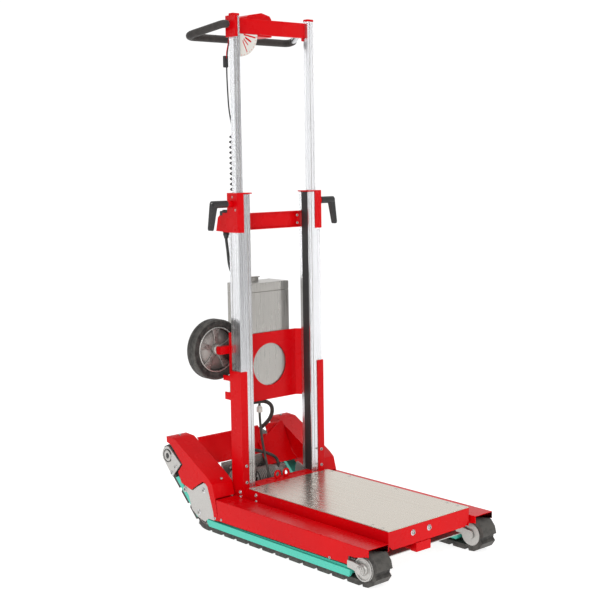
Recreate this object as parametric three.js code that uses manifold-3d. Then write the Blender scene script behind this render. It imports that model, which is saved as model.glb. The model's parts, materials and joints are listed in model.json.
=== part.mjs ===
// Battery-driven crawler trolley for stairs: two rubber tracks under a chassis, a load
// plate with two masts that tilts on the chassis, and a telescopic handle in the masts.
// Millimetres, +Z up. The machine faces -Y; X is its width. While the pieces are made,
// Y = 0 is the rear edge of the load plate and Z = 0 is the ground. At the end the whole
// machine is moved so that the origin is the middle of its base.
import * as THREE from 'three';
import { mergeVertices } from 'three/addons/utils/BufferGeometryUtils.js';
import Module from 'manifold-3d';

const wasm = await Module();
wasm.setup();

// ---------------------------------------------------------------- driving dimensions
const GAP = 0.3; // clearance between pieces that touch
const SHEET = 3; // thickness of the folded sheet metal

const PLATE_LENGTH = 600;
const PLATE_HALF_WIDTH = 166;
const PLATE_TOP = 140;
const APRON_BOTTOM = 84;

const RAIL_OUTER = 256; // half width over the two track housings
const RAIL_INNER = 180;
const RAIL_TOP = 111;
const RAIL_FRONT = -613;

const BELT_OUTER = 246;
const BELT_INNER = 188;
const BELT_BODY = 6; // thickness between the lugs
const BELT_FULL = 16; // thickness over a lug
const LUG_PITCH = 60;

// Wheels of the belt loop, by the place of their axis and the radius of the belt's inside.
const IDLER = { y: -587, z: BELT_FULL + 34.5, r: 34.5 };
const BEND = { y: 120, z: BELT_FULL + 40, r: 40 };
const DRIVE = { y: 306, z: 205, r: 20 };
const SHOE = { y: 70, z: 119, r: 34 }; // turns the returning belt upwards, from above
const DRUM_PLAY = 0.5; // between a drum and the inside of the belt

const PIVOT = { y: 45, z: 115 }; // the masts and the load plate tilt about this line
const MAST = { inner: 119.5, outer: 167, front: 24, rear: 69.5, wall: 3, bottom: 100, top: 1044 };
const POST = { inner: 136.5, outer: 161.5, front: 36, rear: 56, wall: 2, bottom: 880, top: 1578 };
const COVER_OUTER = 172; // outer side of the red covers on the masts
const COVER_INNER = MAST.outer + GAP;
const COVER_BACK = MAST.front - GAP; // back of their front flanges
const FOOT_COVER = { bottom: 95, top: 500, rear: 74 };
const COLLAR = { bottom: 927.5, top: 1048, rear: 70 };

const ROD_PIN = { y: PIVOT.y, z: 70 }; // pin of the tilting actuator under the pivot
const ACTUATOR = { y: -300, z: 78, bore: 7.6, rod: 7, radius: 14 };

const LEVER = { y: 48, z: 1015 };
const WHEEL = { x: -185, z: 563, radius: 94.5, front: 112, rear: 152, bore: 6.5 };
const SWIVEL = { x: -155, y: 81 };
const COIL = { x: -133, y: 86, r: 11, bottom: 868, top: 1228 };
const HANDLE = { radius: 12, root: 45, left: 228, right: 201, end: 149.5, rear: 188, high: 1549, low: 1521 };

// ---------------------------------------------------------------- paints and materials
function paint(color, roughness, metalness) {
  return () => new THREE.MeshStandardMaterial({ color, roughness, metalness });
}
const red = paint(0xd0101c, 0.35, 0.1);
const aluminium = paint(0xc4c6c9, 0.35, 0.9);
const plateSteel = paint(0xd3cbbd, 0.4, 0.8);
const zinc = paint(0xb9b6b0, 0.4, 0.7);
const rubber = paint(0x232323, 0.8, 0);
const plastic = paint(0x2b2b2d, 0.5, 0);
const slideGreen = paint(0x55c8b4, 0.45, 0);
const boxSteel = paint(0x8d8a84, 0.4, 0.7);
const whitePlastic = paint(0xe6e3de, 0.5, 0);
const darkSteel = paint(0x3c3a38, 0.45, 0.6);

// ---------------------------------------------------------------- solids and helpers
const X = new THREE.Vector3(1, 0, 0);
const Y = new THREE.Vector3(0, 1, 0);
const Z = new THREE.Vector3(0, 0, 1);

function bare(geometry) {
  const plain = geometry.index ? geometry.toNonIndexed() : geometry;
  plain.deleteAttribute('normal');
  plain.deleteAttribute('uv');
  return mergeVertices(plain, 1e-4);
}

function toSolid(geometry) {
  const merged = bare(geometry.clone());
  return new wasm.Manifold(new wasm.Mesh({
    numProp: 3,
    vertProperties: new Float32Array(merged.attributes.position.array),
    triVerts: new Uint32Array(merged.index.array),
  }));
}

function toGeometry(solid) {
  const mesh = solid.getMesh();
  const geometry = new THREE.BufferGeometry();
  geometry.setAttribute('position', new THREE.BufferAttribute(mesh.vertProperties, 3));
  geometry.setIndex(new THREE.BufferAttribute(mesh.triVerts, 1));
  return geometry;
}

function join(...pieces) {
  return toGeometry(pieces.map(toSolid).reduce((whole, piece) => whole.add(piece)));
}

function cut(piece, ...tools) {
  return toGeometry(tools.map(toSolid).reduce((rest, tool) => rest.subtract(tool), toSolid(piece)));
}

function box(x0, x1, y0, y1, z0, z1) {
  const block = new THREE.BoxGeometry(x1 - x0, y1 - y0, z1 - z0);
  return block.translate((x0 + x1) / 2, (y0 + y1) / 2, (z0 + z1) / 2);
}

function extrude(points, holes, depth, axes, along, start) {
  const shape = new THREE.Shape(points.map(([a, b]) => new THREE.Vector2(a, b)));
  shape.holes = holes.map((hole) => new THREE.Path(hole.map(([a, b]) => new THREE.Vector2(a, b))));
  const solid = new THREE.ExtrudeGeometry(shape, { depth, bevelEnabled: false });
  solid.applyMatrix4(new THREE.Matrix4().makeBasis(...axes));
  return solid.translate(...along.clone().multiplyScalar(start).toArray());
}

// An outline of [y, z] points, swept from x0 to x1.
function sweepX(points, x0, x1, holes = []) {
  return extrude(points, holes, x1 - x0, [Y, Z, X], X, x0);
}

// An outline of [x, z] points, swept from y0 to y1.
function sweepY(points, y0, y1, holes = []) {
  return extrude(points, holes, y1 - y0, [X, Z, Y.clone().negate()], Y, y1);
}

// An outline of [x, y] points, swept from z0 to z1.
function sweepZ(points, z0, z1, holes = []) {
  return extrude(points, holes, z1 - z0, [X, Y, Z], Z, z0);
}

function arc(cy, cz, radius, from, to, steps) {
  return Array.from({ length: steps + 1 }, (_, i) => {
    const angle = THREE.MathUtils.degToRad(from + ((to - from) * i) / steps);
    return [cy + radius * Math.cos(angle), cz + radius * Math.sin(angle)];
  });
}

function circle(cy, cz, radius, steps = 16) {
  return arc(cy, cz, radius, 0, 360, steps).slice(0, -1);
}

// A ring about the Y axis: its section is a closed outline of [along the axis, radius] points.
function ring(section, steps) {
  const points = section.map(([along, radius]) => new THREE.Vector2(radius, along));
  if (THREE.ShapeUtils.area(points) < 0) {
    points.reverse();
  }
  return new THREE.LatheGeometry([...points, points[0]], steps);
}

function ringX(section, y, z, steps = 24) {
  const turned = ring(section, steps);
  turned.applyMatrix4(new THREE.Matrix4().makeBasis(Y, X, Z.clone().negate()));
  return turned.translate(0, y, z);
}

function ringY(section, x, z, steps = 32) {
  return ring(section, steps).translate(x, 0, z);
}

function rodX(x0, x1, y, z, r, steps = 16) {
  return sweepX(circle(y, z, r, steps), x0, x1);
}

function rodY(y0, y1, x, z, r, steps = 16) {
  return sweepY(circle(x, z, r, steps), y0, y1);
}

// A round bar or cord along a curve.
function tube(curve, radius, sides, steps) {
  const section = new THREE.Shape(circle(0, 0, radius, sides).map(([a, b]) => new THREE.Vector2(a, b)));
  return new THREE.ExtrudeGeometry(section, { steps, extrudePath: curve });
}

function smooth(points) {
  return new THREE.CatmullRomCurve3(points.map((p) => new THREE.Vector3(...p)));
}

// Straight runs between the points, with each corner rounded from its given distance.
function bent(points, roundings) {
  const corners = points.map((p) => new THREE.Vector3(...p));
  const route = new THREE.CurvePath();
  let start = corners[0];
  for (let i = 1; i < corners.length - 1; i += 1) {
    const towards = (other) => other.clone().sub(corners[i]).setLength(roundings[i - 1]);
    const before = corners[i].clone().add(towards(corners[i - 1]));
    const after = corners[i].clone().add(towards(corners[i + 1]));
    route.add(new THREE.LineCurve3(start, before));
    route.add(new THREE.QuadraticBezierCurve3(before, corners[i], after));
    start = after;
  }
  route.add(new THREE.LineCurve3(start, corners[corners.length - 1]));
  return route;
}

// The outline of a sheet of the given thickness that follows a line of points.
function sheet(points, thickness = SHEET) {
  const normal = (from, to) => {
    const length = Math.hypot(to[0] - from[0], to[1] - from[1]);
    return [(from[1] - to[1]) / length, (to[0] - from[0]) / length];
  };
  const last = points.length - 1;
  const other = points.map(([a, b], i) => {
    const n1 = normal(points[Math.max(i - 1, 0)], points[Math.max(i, 1)]);
    const n2 = normal(points[Math.min(i, last - 1)], points[Math.min(i + 1, last)]);
    const stretch = thickness / (1 + n1[0] * n2[0] + n1[1] * n2[1]);
    return [a + (n1[0] + n2[0]) * stretch, b + (n1[1] + n2[1]) * stretch];
  });
  return [...points, ...other.reverse()];
}

function mirrorX(geometry) {
  const other = bare(geometry.clone()).scale(-1, 1, 1);
  const index = other.index.array;
  for (let i = 0; i < index.length; i += 3) {
    [index[i], index[i + 1]] = [index[i + 1], index[i]];
  }
  return other;
}

const machine = new THREE.Group();

function add(name, geometry, material) {
  const mesh = new THREE.Mesh(bare(geometry), material());
  mesh.name = name;
  machine.add(mesh);
}

// The left-hand piece (negative X) and its mirror image on the right.
function addPair(name, geometry, material) {
  add(`${name}_left`, geometry, material);
  add(`${name}_right`, mirrorX(geometry), material);
}

// ---------------------------------------------------------------- tracks
const BELT_WHEELS = [
  { ...IDLER, sign: 1 },
  { ...BEND, sign: 1 },
  { ...DRIVE, sign: 1 },
  { ...SHOE, sign: -1 },
];
// One lug as [share of the pitch, share of the lug height].
const LUG = [[0.06, 0], [0.125, 1], [0.375, 1], [0.625, 1], [0.875, 1], [0.94, 0]];

// Points on the inside of the belt, each with the heading of the belt there.
function beltPath() {
  const count = BELT_WHEELS.length;
  const headings = BELT_WHEELS.map((from, i) => {
    const to = BELT_WHEELS[(i + 1) % count];
    const reach = Math.hypot(to.y - from.y, to.z - from.z);
    const lead = Math.asin((to.sign * to.r - from.sign * from.r) / reach);
    return Math.atan2(to.z - from.z, to.y - from.y) - lead;
  });
  return BELT_WHEELS.flatMap((wheel, i) => {
    const enter = headings[(i + count - 1) % count];
    const quarter = Math.PI / 2;
    const turn = THREE.MathUtils.euclideanModulo(headings[i] - enter + quarter, 4 * quarter) - quarter;
    const steps = Math.max(3, Math.ceil(Math.abs(turn) / 0.25));
    return Array.from({ length: steps + 1 }, (_, k) => {
      const heading = enter + (turn * k) / steps;
      const offset = wheel.sign * wheel.r;
      const y = wheel.y + offset * Math.sin(heading);
      const z = wheel.z - offset * Math.cos(heading);
      return { y, z, heading };
    });
  });
}

function beltOutline(path) {
  const next = (i) => path[(i + 1) % path.length];
  const lengths = [0];
  path.forEach((point, i) => {
    lengths.push(lengths[i] + Math.hypot(next(i).y - point.y, next(i).z - point.z));
  });
  const total = lengths[path.length];
  const lugs = Math.round(total / LUG_PITCH);
  const outline = [];
  let i = 0;
  for (let lug = 0; lug < lugs; lug += 1) {
    for (const [share, rise] of LUG) {
      const at = ((lug + share) * total) / lugs;
      while (lengths[i + 1] < at) i += 1;
      const along = (at - lengths[i]) / (lengths[i + 1] - lengths[i]);
      const turn = THREE.MathUtils.euclideanModulo(next(i).heading - path[i].heading + 3, 2 * Math.PI) - 3;
      const heading = path[i].heading + turn * along;
      const height = BELT_BODY + (BELT_FULL - BELT_BODY) * rise;
      const y = THREE.MathUtils.lerp(path[i].y, next(i).y, along);
      const z = THREE.MathUtils.lerp(path[i].z, next(i).z, along);
      outline.push([y + height * Math.sin(heading), z - height * Math.cos(heading)]);
    }
  }
  return outline;
}

function drum(wheel, bore) {
  const radius = wheel.r - DRUM_PLAY;
  return [[-BELT_OUTER, bore], [-BELT_OUTER, radius], [-BELT_INNER, radius], [-BELT_INNER, bore]];
}

function makeTracks() {
  const path = beltPath();
  const inside = path.map(({ y, z }) => [y, z]);
  addPair('belt', sweepX(beltOutline(path), -BELT_OUTER, -BELT_INNER, [inside]), rubber);

  // The front idler turns on the pin of its tension fork.
  const flange = ringX([
    [-BELT_OUTER - 4, 9], [-BELT_OUTER, 9], [-BELT_OUTER, 33], [-BELT_OUTER - 4, 33],
  ], IDLER.y, IDLER.z);
  addPair('idler', join(ringX(drum(IDLER, 9), IDLER.y, IDLER.z), flange), zinc);
  const arm = (x0, x1) => sweepX(
    [[-537, 48], [-537, 68], [-560, 68], ...arc(IDLER.y, IDLER.z, 14, 75, 270, 10), [-560, 46]],
    x0,
    x1,
  );
  addPair('tension_fork', join(
    arm(-RAIL_OUTER - 6, -RAIL_OUTER - 0.5),
    arm(-RAIL_INNER - 5.5, -RAIL_INNER - 1),
    rodX(-RAIL_OUTER - 12, -RAIL_INNER - 1, IDLER.y, IDLER.z, 8),
    box(-RAIL_OUTER - 6, -RAIL_INNER - 1, -550, -537, 48, 62),
    rodY(-538, -508.3, -217, 56, 5),
  ), zinc);

  const bendStub = rodX(-BELT_OUTER - 1.5, -BELT_INNER + 4, BEND.y, BEND.z, 10);
  addPair('bend_roller', join(ringX(drum(BEND, 9), BEND.y, BEND.z), bendStub), darkSteel);

  // Slide rails that the belt runs on, along the ground and up the raked end.
  const runner = sweepX([
    [-535, 24.5], [-541, 38], [-522, 46], [70, 39.5], [70, 24.5],
  ], -BELT_OUTER - 1.6, -BELT_INNER + 4);
  const skirt = sweepX([
    [-536, 19], [-541, 27], [-541, 39.5], [97, 39.5], [100, 32], [90, 19],
  ], -RAIL_OUTER + 0.5, -BELT_OUTER - 1);
  addPair('track_guide', join(runner, skirt), slideGreen);
  const rake = path.find(({ heading }) => heading > 0.7);
  const slope = [Math.cos(rake.heading), Math.sin(rake.heading)];
  const onRake = (along, inset) => [
    rake.y + slope[0] * along - slope[1] * inset,
    rake.z + slope[1] * along + slope[0] * inset,
  ];
  const rearRunner = sweepX([
    onRake(34, 1), onRake(152, 1), onRake(150, 13), onRake(40, 13),
  ], -BELT_OUTER - 1.6, -BELT_INNER + 4);
  const rearSkirt = sweepX([
    onRake(12, -5), onRake(166, -5), onRake(160, 12), onRake(22, 12),
  ], -BELT_OUTER - 1.7, -BELT_OUTER - 0.6);
  addPair('rear_guide', join(rearRunner, rearSkirt), slideGreen);
}

// ---------------------------------------------------------------- chassis
function makeHousings() {
  const front = [[-RAIL_OUTER, 40], [-RAIL_OUTER, RAIL_TOP], [-RAIL_INNER, RAIL_TOP], [-RAIL_INNER, 78]];
  const below = sweepX([
    [-640, 0], [60, 0], [60, 46], [-531, 52.5], [-535, 77.5], [-561, 78], [-607, 89.5], [-640, 89.5],
  ], -300, -100);
  const behind = sweepX([[38, 30], [52, 112], [60, 120], [90, 120], [90, 30]], -300, -100);
  addPair('rail', cut(sweepY(sheet(front, -SHEET), RAIL_FRONT, 70), below, behind), red);

  // The cover of the raked arm: a folded top sheet between an outer and an inner side.
  const ridge = [[305, 269], [261, 266], [89, 171], [68, 155], [56, 113]];
  const top = sweepX(sheet(ridge), -RAIL_OUTER, -RAIL_INNER + 2);
  const outer = sweepX([
    ...ridge, [41, 46], [62, 45], [66, 70], [93, 144], [104, 153], [118, 155], [150, 136],
    [178, 118], [229, 131], [246, 163], [221, 191], [281, 244], [304, 251],
  ], -RAIL_OUTER, -RAIL_OUTER + SHEET);
  const inner = sweepX([
    ...ridge, [110, 113], [165, 125], [215, 165], [262, 215], [304, 243],
  ], -RAIL_INNER - 1, -RAIL_INNER + 2);
  const shoe = sweepX(arc(SHOE.y, SHOE.z, SHOE.r - BELT_FULL - DRUM_PLAY, -125, -35, 8),
    -RAIL_OUTER + 1, -RAIL_INNER);
  addPair('arm_cover', join(top, outer, inner, shoe), red);

  addPair('bend_plate', sweepX([
    [66, 47.5], [69, 69], [98, 143], [106, 150], [117, 151], [150, 133], [176, 116], [213, 126],
    [222, 118], [197, 96], [181, 54], [150, 36], [113, 28], [95, 41], [66, 41.5],
  ], -RAIL_OUTER + SHEET + GAP, -BELT_OUTER - 2), zinc);
  addPair('end_plate', sweepX([
    [235, 189], [270, 153.5], [283, 139.5], ...arc(DRIVE.y, DRIVE.z, 30, -25, 105, 12),
  ], -RAIL_OUTER + SHEET + GAP, -BELT_OUTER - 2), zinc);
}

function makeChassis() {
  // Welded frame: a beam inside each belt, three cross members and the pivot brackets,
  // with a floor plate behind them that carries the gear motor of the sector drive.
  const beam = box(-226, -208, -508, 68, 48, 74);
  const member = (y0, y1) => box(-226, 226, y0, y1, 48, 56);
  const bracket = cut(
    sweepX([[-40, 48], [45, 60], ...arc(PIVOT.y, PIVOT.z, 14, -20, 200, 12), [-40, 80]], -112, -100),
    rodX(-113, -99, PIVOT.y, PIVOT.z, 10.5),
  );
  const clevis = box(-14, -9, ACTUATOR.y - 12, ACTUATOR.y + 12, 50, ACTUATOR.z + 10);
  const gearMotor = [
    box(-118, 118, -12, 196, 48, 52),
    box(-118, 46, 190, 196, 51, 168),
    box(40, 118, 190, 196, 51, 138),
    box(-92, -34, 122, 188, 51, 164),
    rodX(-36, -28, 152, 112, 37, 20),
    rodX(-30, 66, 152, 112, 34, 20),
    rodX(65, 92, 152, 112, 24, 16),
    rodX(-108, -90, 150, 128, 26, 16),
    box(64, 104, 124, 191, 51, 92),
  ];
  add('chassis_frame', join(
    beam, mirrorX(beam), member(-480, -450), member(-312, -288), member(-40, -10),
    bracket, mirrorX(bracket), clevis, mirrorX(clevis), ...gearMotor,
    rodX(-14, 14, ACTUATOR.y, ACTUATOR.z, 5),
  ), darkSteel);
  add('belly_pan', cut(box(-150, 150, -585, -330, 60, 63), box(-62, 6, -600, -540, 50, 70)), zinc);

  const wall = sweepX(sheet([[202, 178], [242, 258], [248, 262]], -SHEET), -176, 176);
  add('cross_cover', cut(wall, box(76, 104, 190, 260, 232, 270)), red);
  const slant = sweepY([[40, 207], [174, 267], [180, 300], [40, 300]], 100, 300);
  add('motor_cover', cut(sweepX(sheet([[162, 146], [188, 167], [237, 264]], -SHEET), 50, 176), slant), red);

  // Gear motor between the arms, its gearbox round the drive axle.
  const gearbox = sweepX([
    ...arc(262, 186, 30, 90, 270, 10), ...arc(DRIVE.y, DRIVE.z, 22, -60, 80, 8),
  ], 110, 150);
  const motor = join(rodX(-20, 112, 262, 186, 34), gearbox);
  add('drive_motor', cut(motor, rodX(100, 160, DRIVE.y, DRIVE.z, 8.5)), darkSteel);
  const roller = ringX(drum(DRIVE, 7), DRIVE.y, DRIVE.z);
  const axle = rodX(-BELT_OUTER - 1.5, BELT_OUTER + 1.5, DRIVE.y, DRIVE.z, 8);
  add('drive_axle', join(axle, roller, mirrorX(roller)), darkSteel);
}

// A linear actuator from the chassis to the pin under the pivot, which it pulls to lean the masts.
function makeActuator() {
  const length = Math.hypot(ROD_PIN.y - ACTUATOR.y, ROD_PIN.z - ACTUATOR.z);
  const tilt = Math.atan2(ROD_PIN.z - ACTUATOR.z, ROD_PIN.y - ACTUATOR.y);
  const place = (geometry) => geometry.rotateX(tilt).translate(0, ACTUATOR.y, ACTUATOR.z);
  const cylinder = join(
    rodY(14, 215, 0, 0, ACTUATOR.radius),
    join(rodX(-8, 8, 0, 0, 11), box(-8, 8, 0, 16, -11, 11)),
    box(-8, 48, 16, 32, -13, 13),
    rodY(26, 110, 34, 0, 15),
  );
  add('actuator_cylinder', place(cut(
    cylinder,
    rodX(-20, 20, 0, 0, 5.5),
    rodY(70, 220, 0, 0, ACTUATOR.bore),
  )), plastic);
  const eye = join(rodY(110, length - 8, 0, 0, ACTUATOR.rod), rodX(-8, 8, length, 0, 12.5));
  add('actuator_rod', place(cut(eye, rodX(-20, 20, length, 0, 8))), zinc);
}

// ---------------------------------------------------------------- load frame
function makeTray() {
  const section = [
    [-PLATE_HALF_WIDTH, APRON_BOTTOM], [-PLATE_HALF_WIDTH, PLATE_TOP - SHEET],
    [PLATE_HALF_WIDTH, PLATE_TOP - SHEET], [PLATE_HALF_WIDTH, APRON_BOTTOM],
  ];
  const apron = sweepY([
    [-150, APRON_BOTTOM], [-166, APRON_BOTTOM + 16], [-166, 136], [166, 136],
    [166, APRON_BOTTOM + 16], [150, APRON_BOTTOM],
  ], -PLATE_LENGTH, -PLATE_LENGTH + SHEET);
  const strip = box(-118, 118, 0.3, 51, 134, PLATE_TOP);
  const link = box(-118, 118, -10, 15, 134, PLATE_TOP - SHEET);
  const rings = [-24, 12].map((x) => {
    return ringY(circle(30, 10.5, 3.4, 8), x, PLATE_TOP + 13, 20);
  });
  const frontBox = join(
    box(-57, 1, -PLATE_LENGTH - 2, -545, 57, APRON_BOTTOM - 1),
    box(-50, -6, -592, -550, 80, 135),
  );
  add('load_tray', join(
    sweepY(sheet(section, -SHEET), -PLATE_LENGTH, 20), apron, strip, link, ...rings, frontBox,
  ), red);
  const back = PLATE_TOP - SHEET + GAP;
  add('load_plate', box(-PLATE_HALF_WIDTH, PLATE_HALF_WIDTH, -PLATE_LENGTH, 0, back, PLATE_TOP), plateSteel);
}

function rectangle(x0, x1, y0, y1) {
  return [[x0, y0], [x1, y0], [x1, y1], [x0, y1]];
}

function makeMasts() {
  const { inner, outer, front, rear, wall } = MAST;
  const hollow = rectangle(-outer + wall, -inner - wall, front + wall, rear - wall);
  const tubeWall = sweepZ(rectangle(-outer, -inner, front, rear), MAST.bottom, MAST.top, [hollow]);
  const screwWay = rodX(-COVER_OUTER - 1, -outer + wall + 1, LEVER.y, LEVER.z, 6);
  addPair('mast', cut(tubeWall, screwWay), aluminium);

  // Red covers, angled round the outer front edge of each mast.
  const angle = (back) => [
    [-COVER_OUTER, COVER_BACK - SHEET], [-146, COVER_BACK - SHEET], [-146, COVER_BACK],
    [-COVER_INNER, COVER_BACK], [-COVER_INNER, back], [-COVER_OUTER, back],
  ];
  const foot = sweepZ(angle(FOOT_COVER.rear), FOOT_COVER.bottom, FOOT_COVER.top);
  const hinge = join(
    box(-COVER_OUTER, -COVER_INNER, 73, 108, 467, 482.7),
    box(-COVER_OUTER, -146, 73.5, 92, 474, 482.7),
  );
  add('foot_cover_left', join(foot, hinge), red);
  add('foot_cover_right', mirrorX(foot), red);

  const opening = rectangle(-POST.outer - 0.7, -POST.inner + 0.7, POST.front - 0.7, POST.rear + 0.7);
  const lid = rectangle(-COVER_OUTER, -114, COVER_BACK - SHEET, COLLAR.rear);
  const collar = cut(join(
    sweepZ(angle(COLLAR.rear), COLLAR.bottom, COLLAR.top),
    sweepZ(lid, MAST.top + GAP, COLLAR.top, [opening]),
  ), screwWay);
  const wing = box(-COVER_OUTER, -COVER_INNER, COLLAR.rear - 1, 94, 928, 987);
  add('collar_left', join(collar, wing), red);
  add('collar_right', mirrorX(collar), red);

  add('mid_crossbar', sweepX(
    sheet([[58, 932], [70, 932], [70, 984], [58, 984]]), -inner + GAP, inner - GAP,
  ), red);

  // Tilt shaft between the masts, with the actuator's lugs and the two sector plates.
  const lug = sweepX([
    ...arc(PIVOT.y, PIVOT.z, 13, 0, 180, 8), ...arc(ROD_PIN.y, ROD_PIN.z, 10, 180, 360, 8),
  ], -14, -9);
  const sector = sweepX([...arc(PIVOT.y, PIVOT.z, 82, -65, 25, 12), [72, 135], [72, 60]], -141, -135);
  const arm = sweepX([[50, 108], [100, 92], [104, 104], [50, 122]], -98, -92);
  add('tilt_shaft', join(
    rodX(-inner + GAP, inner - GAP, PIVOT.y, PIVOT.z, 10), lug, mirrorX(lug),
    rodX(-14, 14, ROD_PIN.y, ROD_PIN.z, 5), sector, mirrorX(sector), arm, mirrorX(arm),
    rodX(-141, 141, 98, 98, 6), box(-38, -18, 50, 76, 98, 118),
  ), zinc);
}

function makeBattery() {
  const back = sheet([[-140, 70], [-122, 70], [-108, 86], [108, 86], [122, 70], [140, 70]]);
  const hole = rodY(50, 120, 0, 498, 68, 32);
  add('hole_plate', cut(sweepZ(back, 385, 602), hole), red);
  const inside = rectangle(-85, 85, 94, 183);
  const walls = sweepZ(rectangle(-88, 88, 91, 186), 395, 732, [inside]);
  const pack = box(-82, 82, 97, 180, 396, 700);
  const gland = box(-88, -66, 132, 168, 350, 396);
  add('battery_box', join(walls, box(-88, 88, 91, 186, 395, 398), pack, gland), boxSteel);
  add('battery_lid', join(
    box(-88, 88, 91, 186, 732.3, 760),
    box(-60, 12, 150, 158, 759, 776),
    box(-60, 12, 142, 158, 773, 776),
  ), boxSteel);
  add('switch_box', join(
    sweepX([[72, 928], [134, 930], [124, 972], [114, 980], [72, 980]], -COVER_INNER + GAP, -148),
    box(-166, -150, 72, 110, 979, 990),
  ), red);
}

// ---------------------------------------------------------------- telescopic handle
function makeHandleFrame() {
  const { inner, outer, front, rear, wall } = POST;
  const hollow = rectangle(-outer + wall, -inner - wall, front + wall, rear - wall);
  addPair('post', sweepZ(rectangle(-outer, -inner, front, rear), POST.bottom, POST.top, [hollow]), aluminium);

  const bar = box(-inner + GAP, inner - GAP, 47, 60, 1524, 1570);
  const strap = box(-COVER_OUTER, outer, rear + GAP, 60, 1524, 1570);
  const cheek = box(-COVER_OUTER, -outer - GAP, 12, 60, 1511, 1574);
  const tab = box(130, COVER_OUTER, rear + GAP, 60, 1515, 1525);
  add('top_crossbar', join(bar, strap, cheek, tab), red);

  // From the left cheek round behind the machine, and back to the strap behind the right post.
  const { root, high, low, end } = HANDLE;
  const route = [
    [-COVER_OUTER - GAP, root, high], [-190, root, high], [-HANDLE.left, HANDLE.rear, low],
    [HANDLE.right, HANDLE.rear, low], [end, 94, 1540], [end, 60 + GAP, 1540],
  ];
  add('handle', tube(bent(route, [14, 38, 38, 16]), HANDLE.radius, 10, 56), plastic);

  const housing = sweepY([
    [-88, 1520], [-88, 1577], [-79, 1583], [-29, 1592], [3, 1584], [10, 1575], [10, 1520],
  ], 60.3, 120);
  const rockerWell = box(-52, -26, 115, 121, 1545, 1567);
  add('control_box', cut(housing, rockerWell, rodY(114, 121, -68, 1556, 11.5)), red);
  add('rocker_switch', sweepX([
    [119, 1547.5], [125, 1547], [122.5, 1556], [125, 1565], [119, 1564.5],
  ], -51, -27), plastic);
  add('stop_button', rodY(119, 130, -68, 1556, 11), red);
  const fan = Array.from({ length: 9 }, (_, i) => {
    const angle = (Math.PI / 2) * (i / 8);
    return [-126 + 68 * Math.cos(angle), 1523.7 - 68 * Math.sin(angle)];
  });
  add('indicator_panel', sweepY([[-126, 1523.7], ...fan], 47, 51), whitePlastic);
}

function makeLevers() {
  const screw = rodX(-COVER_OUTER - 1, -POST.outer - 1.5, LEVER.y, LEVER.z, 5);
  const boss = rodX(-192, -COVER_OUTER - GAP, LEVER.y, LEVER.z, 8.5);
  const hub = rodX(-247, -191, LEVER.y, LEVER.z, 11);
  const arm = sweepY([
    [-226, LEVER.z + 5], [-244, LEVER.z + 9], [-250, LEVER.z + 2], [-259, 944], [-257, 938], [-249, 937],
    [-246, 941], [-232, LEVER.z - 12], [-226, LEVER.z - 9],
  ], LEVER.y - 7, LEVER.y + 7);
  addPair('clamp_lever', join(screw, boss, hub, arm), plastic);
}

// ---------------------------------------------------------------- transport wheel
function makeWheel() {
  const { x, z, radius, front, rear, bore } = WHEEL;
  const side = 7.5;
  add('wheel_arm', join(
    box(SWIVEL.x - side, SWIVEL.x + side, SWIVEL.y - side, SWIVEL.y + side, 483, 617),
    box(-197, SWIVEL.x + side, 86, 108, 551, 575),
    rodY(107, rear + 4, x, z, bore - 0.5),
  ), red);
  const tread = [
    [front + 4, 72], [front + 1, 88], [front + 9, radius], [rear - 9, radius], [rear - 1, 88],
    [rear - 4, 72],
  ];
  add('tyre', ringY(tread, x, z, 40), rubber);
  const felly = ringY([
    [front + 6, 64], [front + 6, 71.7], [rear - 6, 71.7], [rear - 6, 64],
  ], x, z, 40);
  const spokes = Array.from({ length: 5 }, (_, i) => (
    box(-8, 8, 126, 138, 10, 68).rotateY((2 * Math.PI * i) / 5).translate(x, 0, z)
  ));
  const hub = rodY(front, rear, x, z, 19);
  add('rim', cut(join(felly, hub, ...spokes), rodY(100, 160, x, z, bore)), darkSteel);
}

// ---------------------------------------------------------------- cables
function makeCables() {
  const coil = ring([
    [COIL.bottom, 6], [COIL.bottom, COIL.r], [COIL.top, COIL.r], [COIL.top, 6],
  ], 20);
  add('cable_coil', coil.rotateX(Math.PI / 2).translate(COIL.x, COIL.y, 0), plastic);
  const upper = tube(smooth([
    [COIL.x, COIL.y, COIL.top + GAP], [-134, 86, 1250], [-142, 88, 1300], [-146, 88, 1360],
    [-149, 86, 1420], [-150, 80, 1470], [-149, 72, 1500], [-148, 68, 1519], [-148, 68, 1524],
  ]), 3, 8, 36);
  add('cable_upper', upper, plastic);
  const lower = tube(smooth([
    [-156, 98, 927.6], [-156, 98, 905], [-150, 100, 870], [-140, 106, 825], [-122, 114, 795],
    [-100, 122, 786], [-83, 128, 779], [-76, 130, 770], [-76, 130, 760.4],
  ]), 4.5, 8, 28);
  add('cable_lower', lower, plastic);
  const hose = tube(smooth([
    [-65.6, 150, 364], [-45, 150, 365], [-10, 150, 367], [30, 151, 363], [60, 158, 346],
    [79, 174, 320], [88, 198, 291], [90, 224, 268], [90, 248, 250], [90, 261, 236], [90, 262, 221],
  ]), 6.5, 8, 26);
  add('power_hose', hose, rubber);
  const signal = tube(smooth([
    [-19, 120, 394.6], [-19, 120, 370], [-19, 120, 340], [-18, 119, 306], [-17, 112, 250],
    [-19, 98, 205], [-24, 79, 165], [-28, 67, 135], [-28, 66, 118.4],
  ]), 4, 8, 26);
  add('signal_cable', signal, rubber);
}

makeTracks();
makeHousings();
makeChassis();
makeActuator();
makeTray();
makeMasts();
makeBattery();
makeHandleFrame();
makeLevers();
makeWheel();
makeCables();

const bounds = new THREE.Box3().setFromObject(machine);
const middle = bounds.getCenter(new THREE.Vector3());
machine.position.set(-middle.x, -middle.y, -bounds.min.z);

export default machine;
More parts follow.
